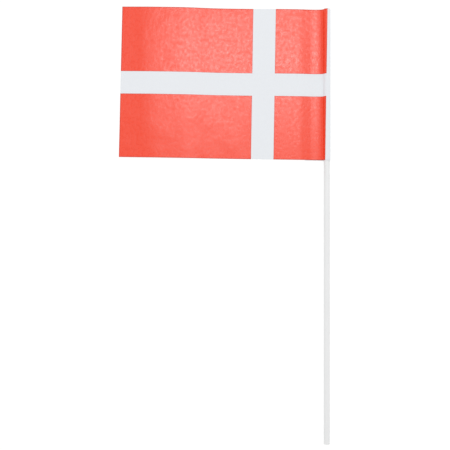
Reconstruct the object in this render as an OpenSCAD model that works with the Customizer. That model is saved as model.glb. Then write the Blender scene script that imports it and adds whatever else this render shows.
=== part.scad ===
// Paper hand flag on a thin hollow stick, lying on a table with its front up.
// Millimetres. The stick's axis runs along Y from its lower end at the origin, the flag flies
// towards -X, and +Z is up from the table.

/* [Stick] */
// Length of the stick
stick_l = 400; // [300:5:600]
// Outer diameter of the stick
stick_d = 5.5; // [4:0.1:8]
// Wall of the hollow stick
stick_wall = 0.5; // [0.4:0.05:1]

/* [Paper] */
// Height of the flag along the stick
flag_h = 138.6; // [100:0.1:200]
// Reach of the flag from the stick's axis to its fly edge
flag_reach = 188.7; // [170:0.1:260]
// Thickness of the paper
paper_t = 0.15; // [0.1:0.01:0.3]
// Glue line between the stick and the paper round it
glue_gap = 0.05; // [0.03:0.01:0.1]
// How far the stick can shift sideways in the sleeve round it
sleeve_play = 0.2; // [0:0.05:0.4]
// Width of the lap that is glued to the back of the flag
glued_w = 9.6; // [4:0.2:14]
// Distance of the flag's top corner below the end of the stick
top_gap = 0.5; // [0:0.1:5]
// Angle that the sheet was glued on askew, in degrees
askew = 0.92; // [0:0.02:2]
// Angle that the fly edge was cut out of square, in degrees
fly_skew = 0.42; // [0:0.02:1]

/* [Print] */
// Width of both arms of the cross
arm_w = 20.6; // [10:0.1:40]
// Distance from the stick's axis to the far side of the colour fields beside the stick
hoist_w = 46.5; // [30:0.5:70]
// Start of the print, to the right of the stick's axis
print_start = 0.35; // [0:0.05:1]
// How far the print sits below the middle of the sheet
print_drop = 0.4; // [0:0.1:2]

/* [Lie of the paper] */
// How far past the top of the stick the paper still hugs it, in degrees
hug_angle = 74; // [60:1:85]
// Slope at which the tight bend beside the stick ends and the long one to the lap starts, in degrees
landing_slope = 12; // [6:1:20]
// Distance from the stick's axis at which the flag comes down on its lap
join_reach = 12.5; // [9:0.5:16]
// How far the lap is lifted off the table there
join_lift = 0.88; // [0.2:0.02:1.8]
// Radius at the foot of the ramp that the flag and its lap make from there
ramp_foot_r = 36; // [20:1:60]
// Slope of that ramp, in degrees
ramp_slope = 5; // [2:0.5:10]
// Radius with which the flag bends over at the end of the lap
hump_r = 52; // [20:1:80]
// Run over which the flag goes down from there to the table
hump_fall_w = 58; // [35:1:75]
// Width of the stretch that lies on the table
table_w = 9; // [1:1:25]
// Height of the crest near the fly
crest_h = 2.6; // [0.2:0.1:5]
// Run over which the flag rises to the crest
crest_rise_w = 43; // [25:1:60]
// Width of the level crest
crest_w = 18; // [1:1:35]
// Height of the fly edge
fly_h = 1.6; // [0:0.1:5]

/* [Hidden] */
$fn = 96;

red_ink = "#FB5C48";
bare_paper = "#E8ECF0";
stick_white = "#E6E9EC";

stick_r = stick_d / 2;
wrap_in_r = stick_r + glue_gap + sleeve_play;
wrap_r = wrap_in_r + paper_t / 2;

// Centre of the sleeve in X and Z: the stick lies against the sleeve's lower left side
sleeve_at = sleeve_play * [cos(45), sin(45)];
table_z = sleeve_at[1] - wrap_in_r - paper_t;

// Largest turn and largest chord between two points of the paper's section
turn_step = 5;
chord_step = 3;

// Heights of the paper's middle where the lap and the flag meet, one ply above the other
lap_z = table_z + join_lift + paper_t / 2;
join_z = lap_z + paper_t;

// The tight bend from the stick's side and the long one after it, which end level at the join
landing_share = tan(landing_slope / 2);
leave_r = (sleeve_at[1] + wrap_r * cos(hug_angle) - join_z
           - landing_share * (join_reach + sleeve_at[0] - wrap_r * sin(hug_angle)))
          / (cos(landing_slope) - cos(hug_angle) - landing_share * (sin(hug_angle) - sin(landing_slope)));
bend_end_x = sleeve_at[0] - wrap_r * sin(hug_angle) - leave_r * (sin(hug_angle) - sin(landing_slope));
landing_r = (join_reach + bend_end_x) / sin(landing_slope);

// The bend of the lap from the join down to the stick's underside
under_angle = 2 * atan((lap_z - sleeve_at[1] + wrap_r) / (join_reach + sleeve_at[0]));
under_r = (join_reach + sleeve_at[0]) / sin(under_angle) - wrap_r;

// The flag and its lap are glued together into a stiff straight ramp, and the flag bends over into
// a low hump where the lap ends
ramp_l = glued_w - ramp_foot_r * ramp_slope * PI / 180;
hump_rise = (ramp_foot_r + hump_r) * (1 - cos(ramp_slope)) + ramp_l * sin(ramp_slope);
hump_rise_w = (ramp_foot_r + hump_r) * sin(ramp_slope) + ramp_l * cos(ramp_slope);
hump_h = join_lift + paper_t + hump_rise;

// The run that is left for the way down to the fly edge, and the spare length past that edge that
// the sheet's outline trims off
fly_fall_w = flag_reach - join_reach - hump_rise_w - hump_fall_w - table_w - crest_rise_w - crest_w;
skew_w = flag_h / 2 * tan(fly_skew);
trimmed_w = flag_h * sin(askew) + skew_w + 5 * paper_t;

// Two equal bends that lead from one level to another. A bend is [turn, radius], counterclockwise
// positive, and a straight is [0, length].
function s_bend(rise, run) =
    let (slope = 2 * atan(abs(rise) / run))
    let (r = run / 2 / sin(slope))
    rise == 0 ? [[0, run]] : [[-sign(rise) * slope, r], [sign(rise) * slope, r]];

// The paper's section in three stretches: from the join under and round the stick and back to the
// join, along the glued lap, and on to the fly
round_stick = [
    [-under_angle, under_r],
    [under_angle + 180 + hug_angle, wrap_r],
    [landing_slope - hug_angle, leave_r],
    [-landing_slope, landing_r]
];
along_lap = [[-ramp_slope, ramp_foot_r], [0, ramp_l]];
to_fly = concat(
    [[ramp_slope, hump_r]],
    s_bend(-hump_h, hump_fall_w),
    [[0, table_w]],
    s_bend(crest_h, crest_rise_w),
    [[0, crest_w]],
    s_bend(fly_h - crest_h, fly_fall_w),
    [[0, trimmed_w]]
);

// Points [x, z, heading] along one bend or straight that starts at p
function stretch_points(p, turn, r) =
    turn == 0
        ? [[p[0] + r * cos(p[2]), p[1] + r * sin(p[2]), p[2]]]
        : let (side = sign(turn))
          let (c = [p[0] - side * r * sin(p[2]), p[1] + side * r * cos(p[2])])
          let (arc_l = r * abs(turn) * PI / 180)
          let (n = ceil(max(abs(turn) / turn_step, min(arc_l / chord_step, abs(turn)))))
          [for (i = [1:n])
              let (h = p[2] + turn * i / n)
              [c[0] + side * r * sin(h), c[1] - side * r * cos(h), h]];

function last(list) = list[len(list) - 1];

// Points along a path of bends and straights, with its start p as the first
function path_points(path, p, i = 0) =
    i == len(path)
        ? [p]
        : let (pts = stretch_points(p, path[i][0], path[i][1]))
          concat([p], [for (k = [0:1:len(pts) - 2]) pts[k]], path_points(path, last(pts), i + 1));

round_points = path_points(round_stick, [-join_reach, lap_z, 0]);
lap_points = path_points(along_lap, [-join_reach, join_z, 180]);
fly_points = path_points(to_fly, last(lap_points));

// The line at a distance to the left of the way along the paper's middle
function beside(pts, d) = [for (p = pts) [p[0] - d * sin(p[2]), p[1] + d * cos(p[2])]];

function backwards(pts) = [for (k = [len(pts) - 1:-1:0]) pts[k]];

// The whole sheet's section in X and Z: its outside, with the lap as a second ply below the flag,
// less the hollow round the stick, which closes to an edge at the join
module sheet_section() {
    difference() {
        polygon(concat(
            beside(round_points, -paper_t / 2),
            beside([for (k = [1:len(lap_points) - 1]) lap_points[k]], -paper_t / 2),
            beside([for (k = [1:len(fly_points) - 1]) fly_points[k]], -paper_t / 2),
            backwards(beside(fly_points, paper_t / 2)),
            backwards(beside([for (k = [1:len(lap_points) - 1]) lap_points[k]], paper_t * 3 / 2))
        ));
        polygon(beside([for (k = [0:len(round_points) - 2]) round_points[k]], paper_t / 2));
    }
}

// Draws a section in X and Z, and gives it more length along Y than the sheet needs
module along_stick() {
    translate([0, stick_l + flag_h, 0])
        rotate([90, 0, 0])
            linear_extrude(3 * flag_h) children();
}

// Places a flat outline on the flag: its corner is on the stick's axis, with the fly towards -X
module on_flag() {
    translate([0, stick_l - top_gap, table_z - paper_t])
        rotate([0, 0, -askew])
            linear_extrude(4 * wrap_r + hump_h + crest_h) children();
}

// The whole sheet, with room at the right for the wrap round the stick
module sheet_outline() {
    polygon([
        [skew_w - flag_reach, 0],
        [2 * stick_d, 0],
        [2 * stick_d, -flag_h],
        [-skew_w - flag_reach, -flag_h]
    ]);
}

// The four printed fields that leave the cross bare
module printed_fields() {
    upper_h = (flag_h - arm_w) / 2 + print_drop;
    lower_h = flag_h - upper_h - arm_w;
    fly_x = -skew_w - flag_reach;
    for (field = [[-upper_h, upper_h], [-flag_h, lower_h]]) {
        translate([-hoist_w, field[0]]) square([hoist_w + print_start, field[1]]);
        translate([fly_x, field[0]]) square([-hoist_w - arm_w - fly_x, field[1]]);
    }
}

// The sheet as it is wrapped and glued: from its lap round the stick and out to the fly edge
module wrapped_sheet() {
    intersection() {
        along_stick() sheet_section();
        on_flag() sheet_outline();
    }
}

module stick() {
    color(stick_white)
        rotate([-90, 0, 0])
            difference() {
                cylinder(h = stick_l, r = stick_r);
                translate([0, 0, -1]) cylinder(h = stick_l + 2, r = stick_r - stick_wall);
            }
}

module flag_sheet() {
    color(red_ink)
        intersection() {
            wrapped_sheet();
            on_flag() printed_fields();
        }
    color(bare_paper)
        difference() {
            wrapped_sheet();
            on_flag() printed_fields();
        }
}

stick();
flag_sheet();
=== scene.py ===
"""A paper hand flag on a thin hollow plastic stick, lying on a pale table with its front up.

The stick's axis runs along Y from its lower end at the origin, the flag flies towards -X, and +Z is up.
"""

import math
import bmesh
import bpy
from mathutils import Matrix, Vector


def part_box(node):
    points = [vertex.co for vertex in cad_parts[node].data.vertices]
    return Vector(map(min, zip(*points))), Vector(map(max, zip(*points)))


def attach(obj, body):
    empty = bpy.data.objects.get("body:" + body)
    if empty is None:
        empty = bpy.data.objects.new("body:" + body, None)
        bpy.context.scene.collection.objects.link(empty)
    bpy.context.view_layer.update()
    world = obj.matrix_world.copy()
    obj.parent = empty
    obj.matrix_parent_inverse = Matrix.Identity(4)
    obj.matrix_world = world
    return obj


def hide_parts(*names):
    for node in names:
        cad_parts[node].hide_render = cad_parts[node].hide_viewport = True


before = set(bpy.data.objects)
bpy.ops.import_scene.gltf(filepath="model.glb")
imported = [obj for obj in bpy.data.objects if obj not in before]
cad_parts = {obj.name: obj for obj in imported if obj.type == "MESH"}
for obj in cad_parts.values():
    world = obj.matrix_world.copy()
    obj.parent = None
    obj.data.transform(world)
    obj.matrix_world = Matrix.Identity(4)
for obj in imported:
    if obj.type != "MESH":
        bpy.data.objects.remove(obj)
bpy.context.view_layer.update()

scene = bpy.context.scene
MM = 0.001

# The camera hangs 0.7 m above the table and looks straight down, with the stick's top at the
# upper edge of the frame and its lower end just inside the bottom edge.
camera_place = Vector((-93.6, 201.3, 700)) * MM
frame_side_px = 450
focal_length_px = 761.4
camera_data = bpy.data.cameras.new("overhead_camera")
camera_data.sensor_width = 36
camera_data.lens = camera_data.sensor_width * focal_length_px / frame_side_px
camera = bpy.data.objects.new("overhead_camera", camera_data)
camera.location = camera_place
scene.collection.objects.link(camera)
scene.camera = camera


# The stick is a straight tube of white polypropylene, extruded in long lengths and cut off with
# a blade, which leaves square ends with slightly rounded edges. The flag is glued round its
# upper third, and the rest is bare.
stick_low, stick_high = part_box("stick")
stick_r = (stick_high.x - stick_low.x) / 2
stick_l = stick_high.y - stick_low.y
stick_wall = 0.5 * MM
stick_edge_r = 0.12 * MM
stick_sides = 72


def linear(colour):
    """The linear red, green, blue and alpha of an sRGB colour written in hex."""
    channels = [int(colour[k:k + 2], 16) / 255 for k in (1, 3, 5)]
    return [c / 12.92 if c <= 0.04045 else ((c + 0.055) / 1.055) ** 2.4 for c in channels] + [1]


def add(tree, kind, inputs=(), **settings):
    """Adds a node. Each input, by name or number, takes a value, a socket, or a node, whose first
    output in use is linked."""
    node = tree.nodes.new(kind)
    for name, value in settings.items():
        setattr(node, name, value)
    for key, value in dict(inputs).items():
        if isinstance(key, int):
            socket = node.inputs[key]
        else:
            socket = next(s for s in node.inputs if s.enabled and s.name == key)
        if isinstance(value, bpy.types.Node):
            value = next(s for s in value.outputs if s.enabled)
        if isinstance(value, bpy.types.NodeSocket):
            tree.links.new(value, socket)
        else:
            socket.default_value = value
    return node


def new_material(name):
    """A material without nodes, and its node tree."""
    material = bpy.data.materials.new(name)
    material.use_nodes = True
    material.node_tree.nodes.clear()
    return material, material.node_tree


def wall_outline(edge_steps=4):
    """The tube wall's outline as (radius, place along the stick), rounded at its four edges."""
    outer_r = stick_r - stick_edge_r
    inner_r = stick_r - stick_wall + stick_edge_r
    low, high = stick_edge_r, stick_l - stick_edge_r
    corners = [(outer_r, low, 270), (outer_r, high, 0), (inner_r, high, 90), (inner_r, low, 180)]
    outline = []
    for r, y, start in corners:
        for step in range(edge_steps + 1):
            turn = math.radians(start + 90 * step / edge_steps)
            outline.append((r + stick_edge_r * math.cos(turn), y + stick_edge_r * math.sin(turn)))
        if start in (270, 90):
            along_wall = outline[-1][0]
            kept_flat = 3 * stick_edge_r if start == 270 else -3 * stick_edge_r
            outline.append((along_wall, y + kept_flat))
            outline.append((along_wall, low + high - y - kept_flat))
    return outline


tube = bmesh.new()
outline = wall_outline()
rings = []
for side in range(stick_sides):
    turn = 2 * math.pi * side / stick_sides
    rings.append([tube.verts.new((r * math.sin(turn), y, r * math.cos(turn))) for r, y in outline])
for ring, following in zip(rings, rings[1:] + rings[:1]):
    for k in range(len(outline)):
        after = (k + 1) % len(outline)
        tube.faces.new((ring[k], ring[after], following[after], following[k])).smooth = True
bmesh.ops.recalc_face_normals(tube, faces=tube.faces)
stick_data = bpy.data.meshes.new("stick_tube")
tube.to_mesh(stick_data)
tube.free()

# Extruded polypropylene: a soft satin with faint draw lines along the stick, where the die
# dragged on it, and a white that drifts a little in tone along its length.
draw_line_mm = 0.4
draw_line_depth = 0.01 * MM
draw_line_stretch = 100
tone_drift_mm = 60
polypropylene, tree = new_material("extruded polypropylene")
place = add(tree, "ShaderNodeTexCoord").outputs["Object"]
drawn = add(tree, "ShaderNodeMapping", {"Vector": place, "Scale": (1, 1 / draw_line_stretch, 1)})
lines = add(tree, "ShaderNodeTexNoise",
            {"Vector": drawn, "Scale": 1 / (draw_line_mm * MM), "Detail": 3})
drift = add(tree, "ShaderNodeTexNoise",
            {"Vector": place, "Scale": 1 / (tone_drift_mm * MM), "Detail": 2})
white = add(tree, "ShaderNodeMix", {"Factor": drift, "A": linear("#E9EAEA"), "B": linear("#F3F3F3")},
            data_type="RGBA")
satin = add(tree, "ShaderNodeMapRange", {"Value": lines, "To Min": 0.34, "To Max": 0.46})
relief = add(tree, "ShaderNodeBump", {"Height": lines, "Strength": 1, "Distance": draw_line_depth})
surface = add(tree, "ShaderNodeBsdfPrincipled",
              {"Base Color": white, "Roughness": satin, "IOR": 1.49, "Normal": relief})
add(tree, "ShaderNodeOutputMaterial", {"Surface": surface})

stick = bpy.data.objects.new("stick_tube", stick_data)
stick_data.materials.append(polypropylene)
scene.collection.objects.link(stick)
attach(stick, "root")
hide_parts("stick")


# The flag is one sheet of printed paper, glued on slightly askew. Its bare margin is glued round
# the stick, and the lap at its end to the back of the flag. The two plies meet beside the stick
# and rise from there to a low hump.
flag_h = 138.6 * MM
flag_reach = 188.7 * MM
paper_t = 0.15 * MM
glue_gap = 0.05 * MM
sleeve_play = 0.2 * MM
top_gap = 0.5 * MM
askew = math.radians(0.92)
fly_skew = math.radians(0.42)
hug_angle = 74
landing_slope = 12
join_reach = 12.5 * MM
join_lift = 0.88 * MM
glued_w = 9.6 * MM
ramp_foot_r = 36 * MM
ramp_slope = 5
hump_r = 52 * MM
hump_fall_w = 58 * MM
table_w = 9 * MM
crest_h = 2.6 * MM
crest_rise_w = 43 * MM
crest_w = 18 * MM
fly_h = 1.6 * MM

# The sleeve is a little wider than the stick, which lies against its lower left side
wrap_r = stick_r + glue_gap + sleeve_play + paper_t / 2
sleeve_x = sleeve_play * math.cos(math.radians(45))
sleeve_z = sleeve_play * math.sin(math.radians(45))
table_z = sleeve_z - wrap_r - paper_t / 2


def bend_points(bends, start, heading, step_deg=2, step_l=0.5 * MM):
    """Points (x, z) along a chain of bends (turn in degrees, radius) and straights (0, length)."""
    x, z = start
    points = [(x, z)]
    for turn, r in bends:
        length = r if turn == 0 else r * abs(math.radians(turn))
        steps = math.ceil(max(abs(turn) / step_deg, length / step_l))
        for step in range(steps):
            half_turn = math.radians(turn) / steps / 2
            chord = length / steps if turn == 0 else 2 * r * math.sin(abs(half_turn))
            x += chord * math.cos(heading + half_turn)
            z += chord * math.sin(heading + half_turn)
            heading += 2 * half_turn
            points.append((x, z))
    return points


def s_bend(rise, run):
    """Two equal bends that lead from one level to another on the way to the fly."""
    slope = 2 * math.atan(abs(rise) / run)
    turn = math.copysign(math.degrees(slope), rise)
    r = run / 2 / math.sin(slope)
    return [(-turn, r), (turn, r)]


def paper_in(bends):
    """Length of paper in a chain of bends and straights."""
    return sum(r * (math.radians(abs(turn)) or 1) for turn, r in bends)


# The tight bend from the stick's side, and the long one that brings the flag down level onto its
# lap, which is lifted off the table there
hug, landing, ramp = [math.radians(angle) for angle in (hug_angle, landing_slope, ramp_slope)]
lap_z = table_z + join_lift + paper_t / 2
join_z = lap_z + paper_t
landing_share = math.tan(landing / 2)
leave_r = ((sleeve_z + wrap_r * math.cos(hug) - join_z
            - landing_share * (join_reach + sleeve_x - wrap_r * math.sin(hug)))
           / (math.cos(landing) - math.cos(hug) - landing_share * (math.sin(hug) - math.sin(landing))))
bend_end_x = sleeve_x - wrap_r * math.sin(hug) - leave_r * (math.sin(hug) - math.sin(landing))
landing_r = (join_reach + bend_end_x) / math.sin(landing)

# Glued together, the flag and its lap make a stiff straight ramp, and the flag bends over into a
# low hump where the lap ends
ramp_l = glued_w - ramp_foot_r * ramp
hump_rise = (ramp_foot_r + hump_r) * (1 - math.cos(ramp)) + ramp_l * math.sin(ramp)
hump_rise_w = (ramp_foot_r + hump_r) * math.sin(ramp) + ramp_l * math.cos(ramp)
hump_h = join_lift + paper_t + hump_rise

# The lap lies under the ramp, one ply lower, and goes down from the join to the stick's underside
lap_foot_r = ramp_foot_r + paper_t
lap_start = (-join_reach - lap_foot_r * math.sin(ramp) - ramp_l * math.cos(ramp),
             lap_z + lap_foot_r * (1 - math.cos(ramp)) + ramp_l * math.sin(ramp))
under = 2 * math.atan((lap_z - sleeve_z + wrap_r) / (join_reach + sleeve_x))
under_r = (join_reach + sleeve_x) / math.sin(under) - wrap_r
to_stick = [
    (0, ramp_l),
    (ramp_slope, lap_foot_r),
    (-math.degrees(under), under_r),
    (math.degrees(under) + 180, wrap_r),
]

# The run that is left for the way down to the fly edge, and the spare length past it that the
# skewed corners of the sheet need
fly_fall_w = flag_reach - join_reach - hump_rise_w - hump_fall_w - table_w - crest_rise_w - crest_w
spare_w = flag_h * (math.sin(askew) + math.tan(fly_skew) / 2) + 5 * paper_t
to_fly = [
    (hug_angle, wrap_r),
    (landing_slope - hug_angle, leave_r),
    (-landing_slope, landing_r),
    (-ramp_slope, ramp_foot_r),
    (0, ramp_l),
    (ramp_slope, hump_r),
    *s_bend(-hump_h, hump_fall_w),
    (0, table_w),
    *s_bend(crest_h, crest_rise_w),
    (0, crest_w),
    *s_bend(fly_h - crest_h, fly_fall_w),
]
wrapped_w = paper_in(to_stick)
sheet_w = wrapped_w + paper_in(to_fly)

section_data = bpy.data.curves.new("flag_section", "CURVE")
section_data.dimensions = "3D"
spline = section_data.splines.new("POLY")
points = bend_points([*to_stick, *to_fly, (0, spare_w)], lap_start, -ramp)
spline.points.add(len(points) - 1)
for point, (x, z) in zip(spline.points, points):
    point.co = (x, 0, z, 1)
section = bpy.data.objects.new("flag_section", section_data)
scene.collection.objects.link(section)

# The tree lays a flat grid of the sheet's size along the section: a point's distance from the
# lap's end gives its place on the section, and its distance from the top edge its place along the
# stick. It keeps the flat sheet's own millimetres as a UV map, which the print follows.
column_w = 0.6 * MM
row_h = 2 * MM
shaping = bpy.data.node_groups.new("paper_round_stick", "GeometryNodeTree")
shaping.is_modifier = True
shaping.interface.new_socket("Geometry", in_out="OUTPUT", socket_type="NodeSocketGeometry")
given = {}
for name, kind, value in [
    ("Section", "Object", section),
    ("Width", "Float", sheet_w),
    ("Height", "Float", flag_h),
    ("Wrapped Width", "Float", wrapped_w),
    ("Top", "Float", stick_l - top_gap),
    ("Askew", "Float", askew),
    ("Fly Skew", "Float", fly_skew),
    ("Columns", "Int", round(sheet_w / column_w)),
    ("Rows", "Int", round(flag_h / row_h)),
    ("Join Reach", "Float", join_reach),
    ("Lap Reach", "Float", join_reach + glued_w),
    ("Hump Reach", "Float", join_reach + hump_rise_w),
    ("Free Reach", "Float", join_reach + hump_fall_w),
    ("Sag Depth", "Float", 0.3 * MM),
    ("Sag Width", "Float", 45 * MM),
    ("Droop Depth", "Float", 0.36 * MM),
    ("Droop Width", "Float", 17 * MM),
    ("Cockle Height", "Float", 0.12 * MM),
    ("Cockle Size", "Float", 22 * MM),
    ("Cockle Seed", "Float", 4.0),
]:
    socket = shaping.interface.new_socket(name, in_out="INPUT", socket_type="NodeSocket" + kind)
    given[socket.identifier] = value
inputs = add(shaping, "NodeGroupInput").outputs

grid = add(shaping, "GeometryNodeMeshGrid", {
    "Size X": inputs["Width"], "Size Y": inputs["Height"],
    "Vertices X": inputs["Columns"], "Vertices Y": inputs["Rows"]})
flat = add(shaping, "ShaderNodeSeparateXYZ", {0: add(shaping, "GeometryNodeInputPosition")}).outputs
half_w = add(shaping, "ShaderNodeMath", {0: inputs["Width"], 1: 0.5}, operation="MULTIPLY")
half_h = add(shaping, "ShaderNodeMath", {0: inputs["Height"], 1: 0.5}, operation="MULTIPLY")
from_lap = add(shaping, "ShaderNodeMath", {0: flat["X"], 1: half_w}, operation="ADD")
# The droop grows towards the fly edge over its last stretch
droop_at = add(shaping, "ShaderNodeMath", {0: inputs["Width"], 1: inputs["Droop Width"]},
               operation="SUBTRACT")
near_fly = add(shaping, "ShaderNodeMapRange",
               {"Value": from_lap, "From Min": droop_at, "From Max": inputs["Width"]})
bent = add(shaping, "ShaderNodeMath", {0: near_fly, 1: 2.0}, operation="POWER")
droop = add(shaping, "ShaderNodeMath", {0: bent, 1: inputs["Droop Depth"]}, operation="MULTIPLY")
# The fly edge was cut slightly out of square and reaches further out at its lower corner. From
# here on, a point is placed by its distance from the top of the stick towards the fly, and by its
# drop below the top edge
across = add(shaping, "ShaderNodeMath", {0: from_lap, 1: inputs["Width"]}, operation="DIVIDE")
skewed = add(shaping, "ShaderNodeMath", {0: across, 1: flat["Y"]}, operation="MULTIPLY")
skew_rise = add(shaping, "ShaderNodeMath", {0: inputs["Fly Skew"]}, operation="TANGENT")
skewed = add(shaping, "ShaderNodeMath", {0: skewed, 1: skew_rise}, operation="MULTIPLY")
from_lap = add(shaping, "ShaderNodeMath", {0: from_lap, 1: skewed}, operation="SUBTRACT")
fly = add(shaping, "ShaderNodeMath", {0: from_lap, 1: inputs["Wrapped Width"]}, operation="SUBTRACT")
drop = add(shaping, "ShaderNodeMath", {0: half_h, 1: flat["Y"]}, operation="SUBTRACT")

# The sheet turns askew about its top corner at the stick, and is then laid along the section
cos_askew = add(shaping, "ShaderNodeMath", {0: inputs["Askew"]}, operation="COSINE")
sin_askew = add(shaping, "ShaderNodeMath", {0: inputs["Askew"]}, operation="SINE")
fly_cos = add(shaping, "ShaderNodeMath", {0: fly, 1: cos_askew}, operation="MULTIPLY")
fly_sin = add(shaping, "ShaderNodeMath", {0: fly, 1: sin_askew}, operation="MULTIPLY")
drop_cos = add(shaping, "ShaderNodeMath", {0: drop, 1: cos_askew}, operation="MULTIPLY")
drop_sin = add(shaping, "ShaderNodeMath", {0: drop, 1: sin_askew}, operation="MULTIPLY")
past_stick = add(shaping, "ShaderNodeMath", {0: fly_cos, 1: drop_sin}, operation="ADD")
down_stick = add(shaping, "ShaderNodeMath", {0: drop_cos, 1: fly_sin}, operation="SUBTRACT")
along = add(shaping, "ShaderNodeMath", {0: past_stick, 1: inputs["Wrapped Width"]}, operation="ADD")
section_curve = add(shaping, "GeometryNodeObjectInfo", {"Object": inputs["Section"]})
sampled = add(shaping, "GeometryNodeSampleCurve",
              {"Curves": section_curve.outputs["Geometry"], "Length": along},
              mode="LENGTH", use_all_curves=True)
on_section = add(shaping, "ShaderNodeSeparateXYZ", {0: sampled.outputs["Position"]}).outputs
up_stick = add(shaping, "ShaderNodeMath", {0: inputs["Top"], 1: down_stick}, operation="SUBTRACT")

# Cockles are low soft bumps, and show only where the paper is free of the lap
seeded = add(shaping, "ShaderNodeCombineXYZ", {"X": fly, "Y": drop, "Z": inputs["Cockle Seed"]})
cockle_scale = add(shaping, "ShaderNodeMath", {0: 1.0, 1: inputs["Cockle Size"]}, operation="DIVIDE")
cockles = add(shaping, "ShaderNodeTexNoise", {"Vector": seeded, "Scale": cockle_scale, "Detail": 1})
lifted = add(shaping, "ShaderNodeMapRange",
             {"Value": cockles, "From Min": 0.4, "From Max": 0.75}, interpolation_type="SMOOTHSTEP")
free = add(shaping, "ShaderNodeMapRange",
           {"Value": fly, "From Min": inputs["Lap Reach"], "From Max": inputs["Free Reach"]},
           interpolation_type="SMOOTHSTEP")
share = add(shaping, "ShaderNodeMath", {0: lifted, 1: free}, operation="MULTIPLY")
# Beside the stick the ramp and hump sag towards the top edge
near_top = add(shaping, "ShaderNodeMapRange",
               {"Value": drop, "From Min": inputs["Sag Width"], "From Max": 0.0},
               interpolation_type="SMOOTHSTEP")
reach = add(shaping, "ShaderNodeMath", {0: on_section["X"], 1: -1.0}, operation="MULTIPLY")
up_ramp = add(shaping, "ShaderNodeMapRange",
              {"Value": reach, "From Min": inputs["Join Reach"], "From Max": inputs["Hump Reach"]},
              interpolation_type="SMOOTHSTEP")
off_hump = add(shaping, "ShaderNodeMapRange",
               {"Value": reach, "From Min": inputs["Free Reach"], "From Max": inputs["Hump Reach"]},
               interpolation_type="SMOOTHSTEP")
sag_at = add(shaping, "ShaderNodeMath", {0: up_ramp, 1: off_hump}, operation="MULTIPLY")
sag_at = add(shaping, "ShaderNodeMath", {0: sag_at, 1: near_top}, operation="MULTIPLY")
lowered = add(shaping, "ShaderNodeMath",
              {0: sag_at, 1: inputs["Sag Depth"], 2: droop}, operation="MULTIPLY_ADD")
hanging = add(shaping, "ShaderNodeMath", {0: on_section["Z"], 1: lowered}, operation="SUBTRACT")
cockled = add(shaping, "ShaderNodeMath",
              {0: share, 1: inputs["Cockle Height"], 2: hanging}, operation="MULTIPLY_ADD")

laid = add(shaping, "ShaderNodeCombineXYZ", {"X": on_section["X"], "Y": up_stick, "Z": cockled})
to_mm = add(shaping, "ShaderNodeVectorMath",
            {0: add(shaping, "ShaderNodeCombineXYZ", {"X": fly, "Y": drop}), "Scale": 1 / MM},
            operation="SCALE")
mapped = add(shaping, "GeometryNodeStoreNamedAttribute",
             {"Geometry": grid, "Name": "sheet_mm", "Value": to_mm},
             data_type="FLOAT2", domain="CORNER")
placed = add(shaping, "GeometryNodeSetPosition", {"Geometry": mapped, "Position": laid})
smooth = add(shaping, "GeometryNodeSetShadeSmooth", {"Geometry": placed})
real = add(shaping, "GeometryNodeRealizeInstances", {"Geometry": smooth})

# Flexo-printed paper: a thin, slightly glossy film of red ink over uncoated white paper. The film
# takes unevenly, so its gloss and relief are mottled, in spots a little longer along the stick.
# The bare cross and margin stay matt.
arm_w = 20.6 * MM
hoist_w = 46.5 * MM
print_drop = 0.4 * MM
print_start = 0.35 * MM
mottle_mm = 2.8
mottle_stretch = 1.25
fibre_mm = 0.6
ink_relief_mm = 0.11
ragged_mm = 0.2
ink_edge_mm = 0.12
rim_start_mm = 0.15
rim_w_mm = 0.7
rolled_w_mm = 0.6
rolled_h_mm = 0.07


def paper_out_to(reach):
    """Length of paper from the top of the stick to a distance out from it, in millimetres."""
    length = 0
    for (x0, z0), (x1, z1) in zip(points, points[1:]):
        length += math.hypot(x1 - x0, z1 - z0)
        if length > wrapped_w and -x1 > reach:
            return (length - wrapped_w) / MM
    return 0


hoist_side_mm = paper_out_to(hoist_w)
fly_side_mm = paper_out_to(hoist_w + arm_w)
half_upright_mm = (fly_side_mm - hoist_side_mm) / 2
level_middle_mm = (flag_h / 2 + print_drop) / MM
half_level_mm = arm_w / 2 / MM
printed_paper, tree = new_material("printed paper")
sheet_uv = add(tree, "ShaderNodeUVMap", uv_map="sheet_mm")
on_sheet = add(tree, "ShaderNodeSeparateXYZ", {0: sheet_uv}).outputs
off_upright = add(tree, "ShaderNodeMath",
                  {0: on_sheet["X"], 1: (hoist_side_mm + fly_side_mm) / 2}, operation="SUBTRACT")
off_level = add(tree, "ShaderNodeMath", {0: on_sheet["Y"], 1: level_middle_mm}, operation="SUBTRACT")
past_upright = add(tree, "ShaderNodeMath", {
    0: add(tree, "ShaderNodeMath", {0: off_upright}, operation="ABSOLUTE"),
    1: half_upright_mm}, operation="SUBTRACT")
past_level = add(tree, "ShaderNodeMath", {
    0: add(tree, "ShaderNodeMath", {0: off_level}, operation="ABSOLUTE"),
    1: half_level_mm}, operation="SUBTRACT")
outside_arms = add(tree, "ShaderNodeMath", {0: past_upright, 1: past_level}, operation="MINIMUM")
past_start = add(tree, "ShaderNodeMath",
                 {0: on_sheet["X"], 1: (print_start - sleeve_x) / MM}, operation="ADD")
inside_ink = add(tree, "ShaderNodeMath", {0: outside_arms, 1: past_start}, operation="MINIMUM")
fibres = add(tree, "ShaderNodeTexNoise", {"Vector": sheet_uv, "Scale": 1 / fibre_mm, "Detail": 3})
ragged = add(tree, "ShaderNodeMath", {0: fibres, 1: ragged_mm, 2: inside_ink},
             operation="MULTIPLY_ADD")
inked = add(tree, "ShaderNodeMapRange", {
    "Value": ragged,
    "From Min": (ragged_mm - ink_edge_mm) / 2,
    "From Max": (ragged_mm + ink_edge_mm) / 2}, interpolation_type="SMOOTHSTEP")

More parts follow.
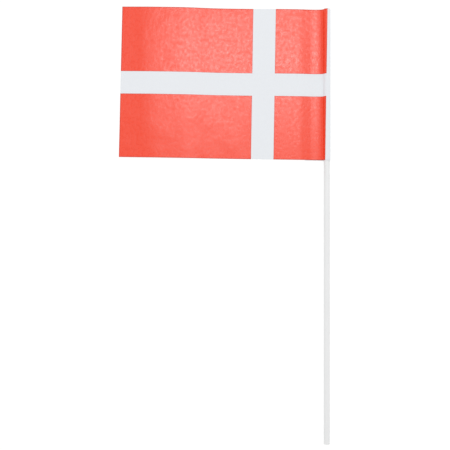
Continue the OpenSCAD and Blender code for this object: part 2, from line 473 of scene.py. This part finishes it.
grain = add(tree, "ShaderNodeMapping", {"Vector": sheet_uv, "Scale": (1, 1 / mottle_stretch, 1)})
mottle = add(tree, "ShaderNodeTexNoise",
             {"Vector": grain, "Scale": 1 / mottle_mm, "Detail": 3, "Roughness": 0.6})
paper_tone = add(tree, "ShaderNodeMix",
                 {"Factor": fibres, "A": linear("#EAEDF1"), "B": linear("#EEF1F5")}, data_type="RGBA")
ink_tone = add(tree, "ShaderNodeMix",
               {"Factor": mottle, "A": linear("#F54121"), "B": linear("#F84827")}, data_type="RGBA")
# Squeezed out at the edge of each printed field, the ink dries there as a darker line. The blade
# that cut the sheet rolled its edges down a little, and along the cut the same darker line is
# painted shade, where the rolled edge turns away from the light.
from_cut = add(tree, "ShaderNodeMath", {
    0: add(tree, "ShaderNodeMath", {0: flag_h / MM, 1: on_sheet["Y"]}, operation="SUBTRACT"),
    1: on_sheet["Y"]}, operation="MINIMUM")
fly_w_mm = paper_in(to_fly) / MM
mid_drop = add(tree, "ShaderNodeMath", {0: on_sheet["Y"], 1: flag_h / 2 / MM}, operation="SUBTRACT")
fly_cut = add(tree, "ShaderNodeMath", {0: mid_drop, 1: math.tan(fly_skew), 2: fly_w_mm},
              operation="MULTIPLY_ADD")
from_fly = add(tree, "ShaderNodeMath", {0: fly_cut, 1: on_sheet["X"]}, operation="SUBTRACT")
from_cut = add(tree, "ShaderNodeMath", {0: from_cut, 1: from_fly}, operation="MINIMUM")
from_rim = add(tree, "ShaderNodeMath", {0: from_cut, 1: ragged}, operation="MINIMUM")
off_squeeze_and_edge_shade = add(tree, "ShaderNodeMapRange",
              {"Value": from_rim, "From Min": rim_start_mm, "From Max": rim_start_mm + rim_w_mm},
              interpolation_type="SMOOTHSTEP")
# Darker red at the rim: ink squeeze at the printed fields' edges, and painted shade along the cut edges
ink_tone = add(tree, "ShaderNodeMix", {"Factor": off_squeeze_and_edge_shade, "A": linear("#C93A20"), "B": ink_tone},
               data_type="RGBA")
colour = add(tree, "ShaderNodeMix", {"Factor": inked, "A": paper_tone, "B": ink_tone},
             data_type="RGBA")
ink_gloss = add(tree, "ShaderNodeMapRange",
                {"Value": mottle, "From Min": 0.36, "From Max": 0.64, "To Min": 0.23, "To Max": 0.35})
gloss = add(tree, "ShaderNodeMix", {"Factor": inked, "A": 0.85, "B": ink_gloss}, data_type="FLOAT")
rolled = add(tree, "ShaderNodeMapRange",
             {"Value": from_cut, "From Max": rolled_w_mm, "To Max": rolled_h_mm},
             interpolation_type="SMOOTHSTEP")
height = add(tree, "ShaderNodeMath", {0: mottle, 1: ink_relief_mm, 2: rolled},
             operation="MULTIPLY_ADD")
relief = add(tree, "ShaderNodeBump", {"Height": height, "Strength": 1, "Distance": MM})
surface = add(tree, "ShaderNodeBsdfPrincipled",
              {"Base Color": colour, "Roughness": gloss, "IOR": 1.5, "Normal": relief})
add(tree, "ShaderNodeOutputMaterial", {"Surface": surface})

# Bare paper edge: the guillotine leaves a matt white line of fibres, without ink, all round.
edge_fibre_mm = 0.1
cut_paper, tree = new_material("cut paper edge")
place = add(tree, "ShaderNodeTexCoord").outputs["Object"]
fibres = add(tree, "ShaderNodeTexNoise",
             {"Vector": place, "Scale": 1 / (edge_fibre_mm * MM), "Detail": 2})
tone = add(tree, "ShaderNodeMix",
           {"Factor": fibres, "A": linear("#E0E3E6"), "B": linear("#F0F2F4")}, data_type="RGBA")
surface = add(tree, "ShaderNodeBsdfPrincipled", {"Base Color": tone, "Roughness": 0.9, "IOR": 1.4})
add(tree, "ShaderNodeOutputMaterial", {"Surface": surface})

finish = add(shaping, "GeometryNodeSetMaterial", {"Geometry": real, "Material": printed_paper})
add(shaping, "NodeGroupOutput", {"Geometry": finish})

flat_sheet = bpy.data.objects.new("flat_sheet", bpy.data.meshes.new("flat_sheet"))
scene.collection.objects.link(flat_sheet)
modifier = flat_sheet.modifiers.new("paper_round_stick", "NODES")
modifier.node_group = shaping
for identifier, value in given.items():
    modifier[identifier] = value
thickness = flat_sheet.modifiers.new("paper_thickness", "SOLIDIFY")
thickness.thickness = paper_t
thickness.offset = 0
thickness.use_rim = True
thickness.material_offset_rim = 1
flat_sheet.data.materials.append(printed_paper)
flat_sheet.data.materials.append(cut_paper)
evaluated = flat_sheet.evaluated_get(bpy.context.evaluated_depsgraph_get())
sheet_data = bpy.data.meshes.new_from_object(evaluated)
sheet_data.name = "flag_sheet_paper"
# The cut edge is square, so the shading turns sharply from the sheet's face to it
for face in sheet_data.polygons:
    if face.material_index == 1:
        face.use_smooth = False
flag = bpy.data.objects.new("flag_sheet_paper", sheet_data)
scene.collection.objects.link(flag)
bpy.data.objects.remove(flat_sheet)
bpy.data.objects.remove(section)
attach(flag, "root")
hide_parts("flag_sheet")


# The table is a plain white board. The camera and reflections see it nearly at full white, with
# the flag's soft shadow on it, and what it throws back on the flag is plain pale light.
table_half = 3.0
table_gap = 0.02 * MM
table_top = table_z - table_gap
glow_radiance = 1.1
glow_share = 0.8


def looked_at(tree):
    """One for camera, glossy and transmission rays, and nought for light thrown on other pieces."""
    path = add(tree, "ShaderNodeLightPath").outputs
    seen = add(tree, "ShaderNodeMath", {0: path["Is Camera Ray"], 1: path["Is Glossy Ray"]},
               operation="MAXIMUM")
    return add(tree, "ShaderNodeMath", {0: seen, 1: path["Is Transmission Ray"]},
               operation="MAXIMUM")


board, tree = new_material("white board")
shaded = add(tree, "ShaderNodeBsdfDiffuse", {"Color": linear("#F4F4F4")})
glow = add(tree, "ShaderNodeEmission", {"Color": linear("#FFFFFF"), "Strength": glow_radiance})
near_white = add(tree, "ShaderNodeMixShader", {"Fac": glow_share, 1: shaded, 2: glow})
surface = add(tree, "ShaderNodeMixShader", {"Fac": looked_at(tree), 1: shaded, 2: near_white})
add(tree, "ShaderNodeOutputMaterial", {"Surface": surface})
table_data = bpy.data.meshes.new("table")
corners = [(-1, -1), (1, -1), (1, 1), (-1, 1)]
table_points = [(x * table_half, y * table_half, table_top) for x, y in corners]
table_data.from_pydata(table_points, [], [(0, 1, 2, 3)])
table = bpy.data.objects.new("table", table_data)
table_data.materials.append(board)
scene.collection.objects.link(table)


# One large soft box hangs over the far side of the flag, where the ink reflects it over the upper
# and middle part of the sheet. Two weak low panels light the sides of the stick and its sleeve,
# and plain light from all round fills in the rest.
box_radiance = 9.6
box_height = 2.0
box_low = Vector((-0.355, 0.59))
box_high = Vector((0.49, 1.01))
panel_radiance = 0.2
panel_off = 1.2
panel_h = 0.9
panel_w = 2.4
fill_radiance = 0.7


def soft_light(name, place, size, radiance, lean=0):
    """A rectangular light that the camera doesn't see. It shines down, or leans over about Y."""
    data = bpy.data.lights.new(name, "AREA")
    data.shape = "RECTANGLE"
    data.size, data.size_y = size
    data.energy = radiance * math.pi * size[0] * size[1]
    light = bpy.data.objects.new(name, data)
    light.location = place
    light.rotation_euler = (0, lean, 0)
    light.visible_camera = False
    scene.collection.objects.link(light)


box_middle = (box_low + box_high) / 2
soft_light("soft_box", (*box_middle, box_height), box_high - box_low, box_radiance)
for side in (-1, 1):
    panel_at = (side * panel_off, stick_l - flag_h / 2, panel_h / 2)
    soft_light("side_panel", panel_at, (panel_h, panel_w), panel_radiance, side * math.pi / 2)

world = bpy.data.worlds.new("plain_light")
world.use_nodes = True
scene.world = world
tree = world.node_tree
tree.nodes.clear()
fill = add(tree, "ShaderNodeBackground", {"Color": linear("#FFFFFF"), "Strength": fill_radiance})
backdrop = add(tree, "ShaderNodeBackground", {"Color": linear("#FFFFFF"), "Strength": 1})
surface = add(tree, "ShaderNodeMixShader", {"Fac": looked_at(tree), 1: fill, 2: backdrop})
add(tree, "ShaderNodeOutputWorld", {"Surface": surface})

scene.view_settings.view_transform = "Standard"
